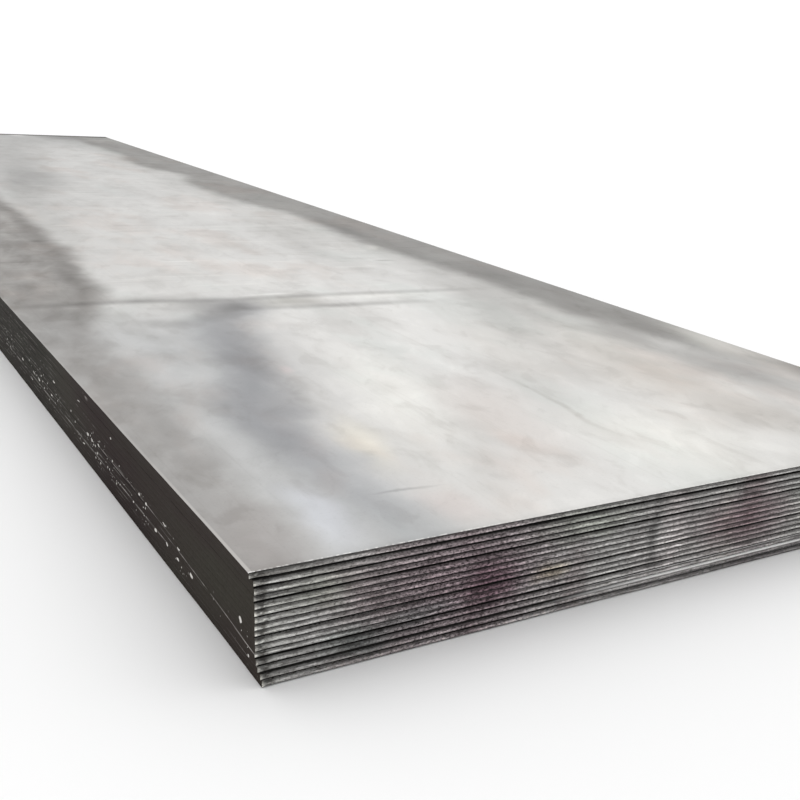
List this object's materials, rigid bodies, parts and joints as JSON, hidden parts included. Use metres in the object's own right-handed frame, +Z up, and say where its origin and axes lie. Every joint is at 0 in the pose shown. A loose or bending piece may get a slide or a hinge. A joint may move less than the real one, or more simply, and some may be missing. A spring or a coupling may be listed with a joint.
{
  "type": "stack of steel plates",
  "caption": "Tight stack of large rectangular hot-rolled steel plates lying flat on one another, with sheared ends, rounded mill edges and a slightly uneven lay; raw stock for fabrication.",
  "frame": {"origin": "middle of the stack's square outline, on the plane that the lowest plate lies on", "axes": "+X along the plates' length, +Y across them, +Z up through the stack"},
  "size_m": [6.1077, 1.5506, 0.1524],
  "materials": {
    "hot_rolled_steel": "hot-rolled mill finish, satin grey, with darker rolled long edges and torn sheared ends"
  },
  "bodies": {
    "root": {"plate_01": "hot_rolled_steel", "plate_02": "hot_rolled_steel", "plate_03": "hot_rolled_steel", "plate_04": "hot_rolled_steel", "plate_05": "hot_rolled_steel", "plate_06": "hot_rolled_steel", "plate_07": "hot_rolled_steel", "plate_08": "hot_rolled_steel", "plate_09": "hot_rolled_steel", "plate_10": "hot_rolled_steel", "plate_11": "hot_rolled_steel", "plate_12": "hot_rolled_steel", "plate_13": "hot_rolled_steel", "plate_14": "hot_rolled_steel", "plate_15": "hot_rolled_steel", "plate_16": "hot_rolled_steel"}
  },
  "joints": []
}
